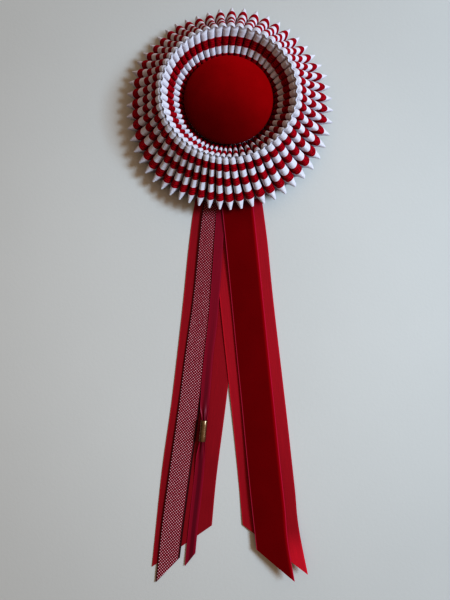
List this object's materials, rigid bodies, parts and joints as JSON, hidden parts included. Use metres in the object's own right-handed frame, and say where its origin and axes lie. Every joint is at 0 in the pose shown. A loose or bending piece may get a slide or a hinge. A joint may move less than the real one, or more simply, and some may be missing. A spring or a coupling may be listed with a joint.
{
  "type": "ribbon rosette",
  "caption": "Pleated ribbon award rosette, lying on its back, with a velvet centre button, five ribbon tails and a brooch pin behind.",
  "frame": {"origin": "On the table surface, straight under the middle of the rosette, which is also the middle of the brooch pin.", "axes": "+Z out of the rosette's front, away from the table; +Y to the top of the rosette; the ribbon tails run to -Y; +X to the right seen from the front."},
  "size_m": [0.1649, 0.4464, 0.033],
  "materials": {
    "grosgrain": "ribbed grosgrain ribbon in lengthwise red and white bands",
    "velvet": "deep red velvet over padding",
    "card": "plain stiff card",
    "pin_steel": "plain plated steel",
    "red_ribbon": "ribbed red grosgrain ribbon",
    "mesh_ribbon": "red ribbon with a pinkish metallic mesh",
    "satin": "wine satin ribbon",
    "velvet_ribbon": "dark red velvet ribbon",
    "gold": "thin polished gold-coloured metal"
  },
  "bodies": {
    "root": {"outer_skirt": "grosgrain", "inner_cup": "grosgrain", "velvet_button": "velvet", "back_disc": "card", "brooch_pin": "pin_steel", "tail_red_left": "red_ribbon", "tail_red_right": "red_ribbon", "tail_mesh": "mesh_ribbon", "tail_narrow": "satin", "tail_velvet": "velvet_ribbon", "gold_tube": "gold"}
  },
  "joints": []
}
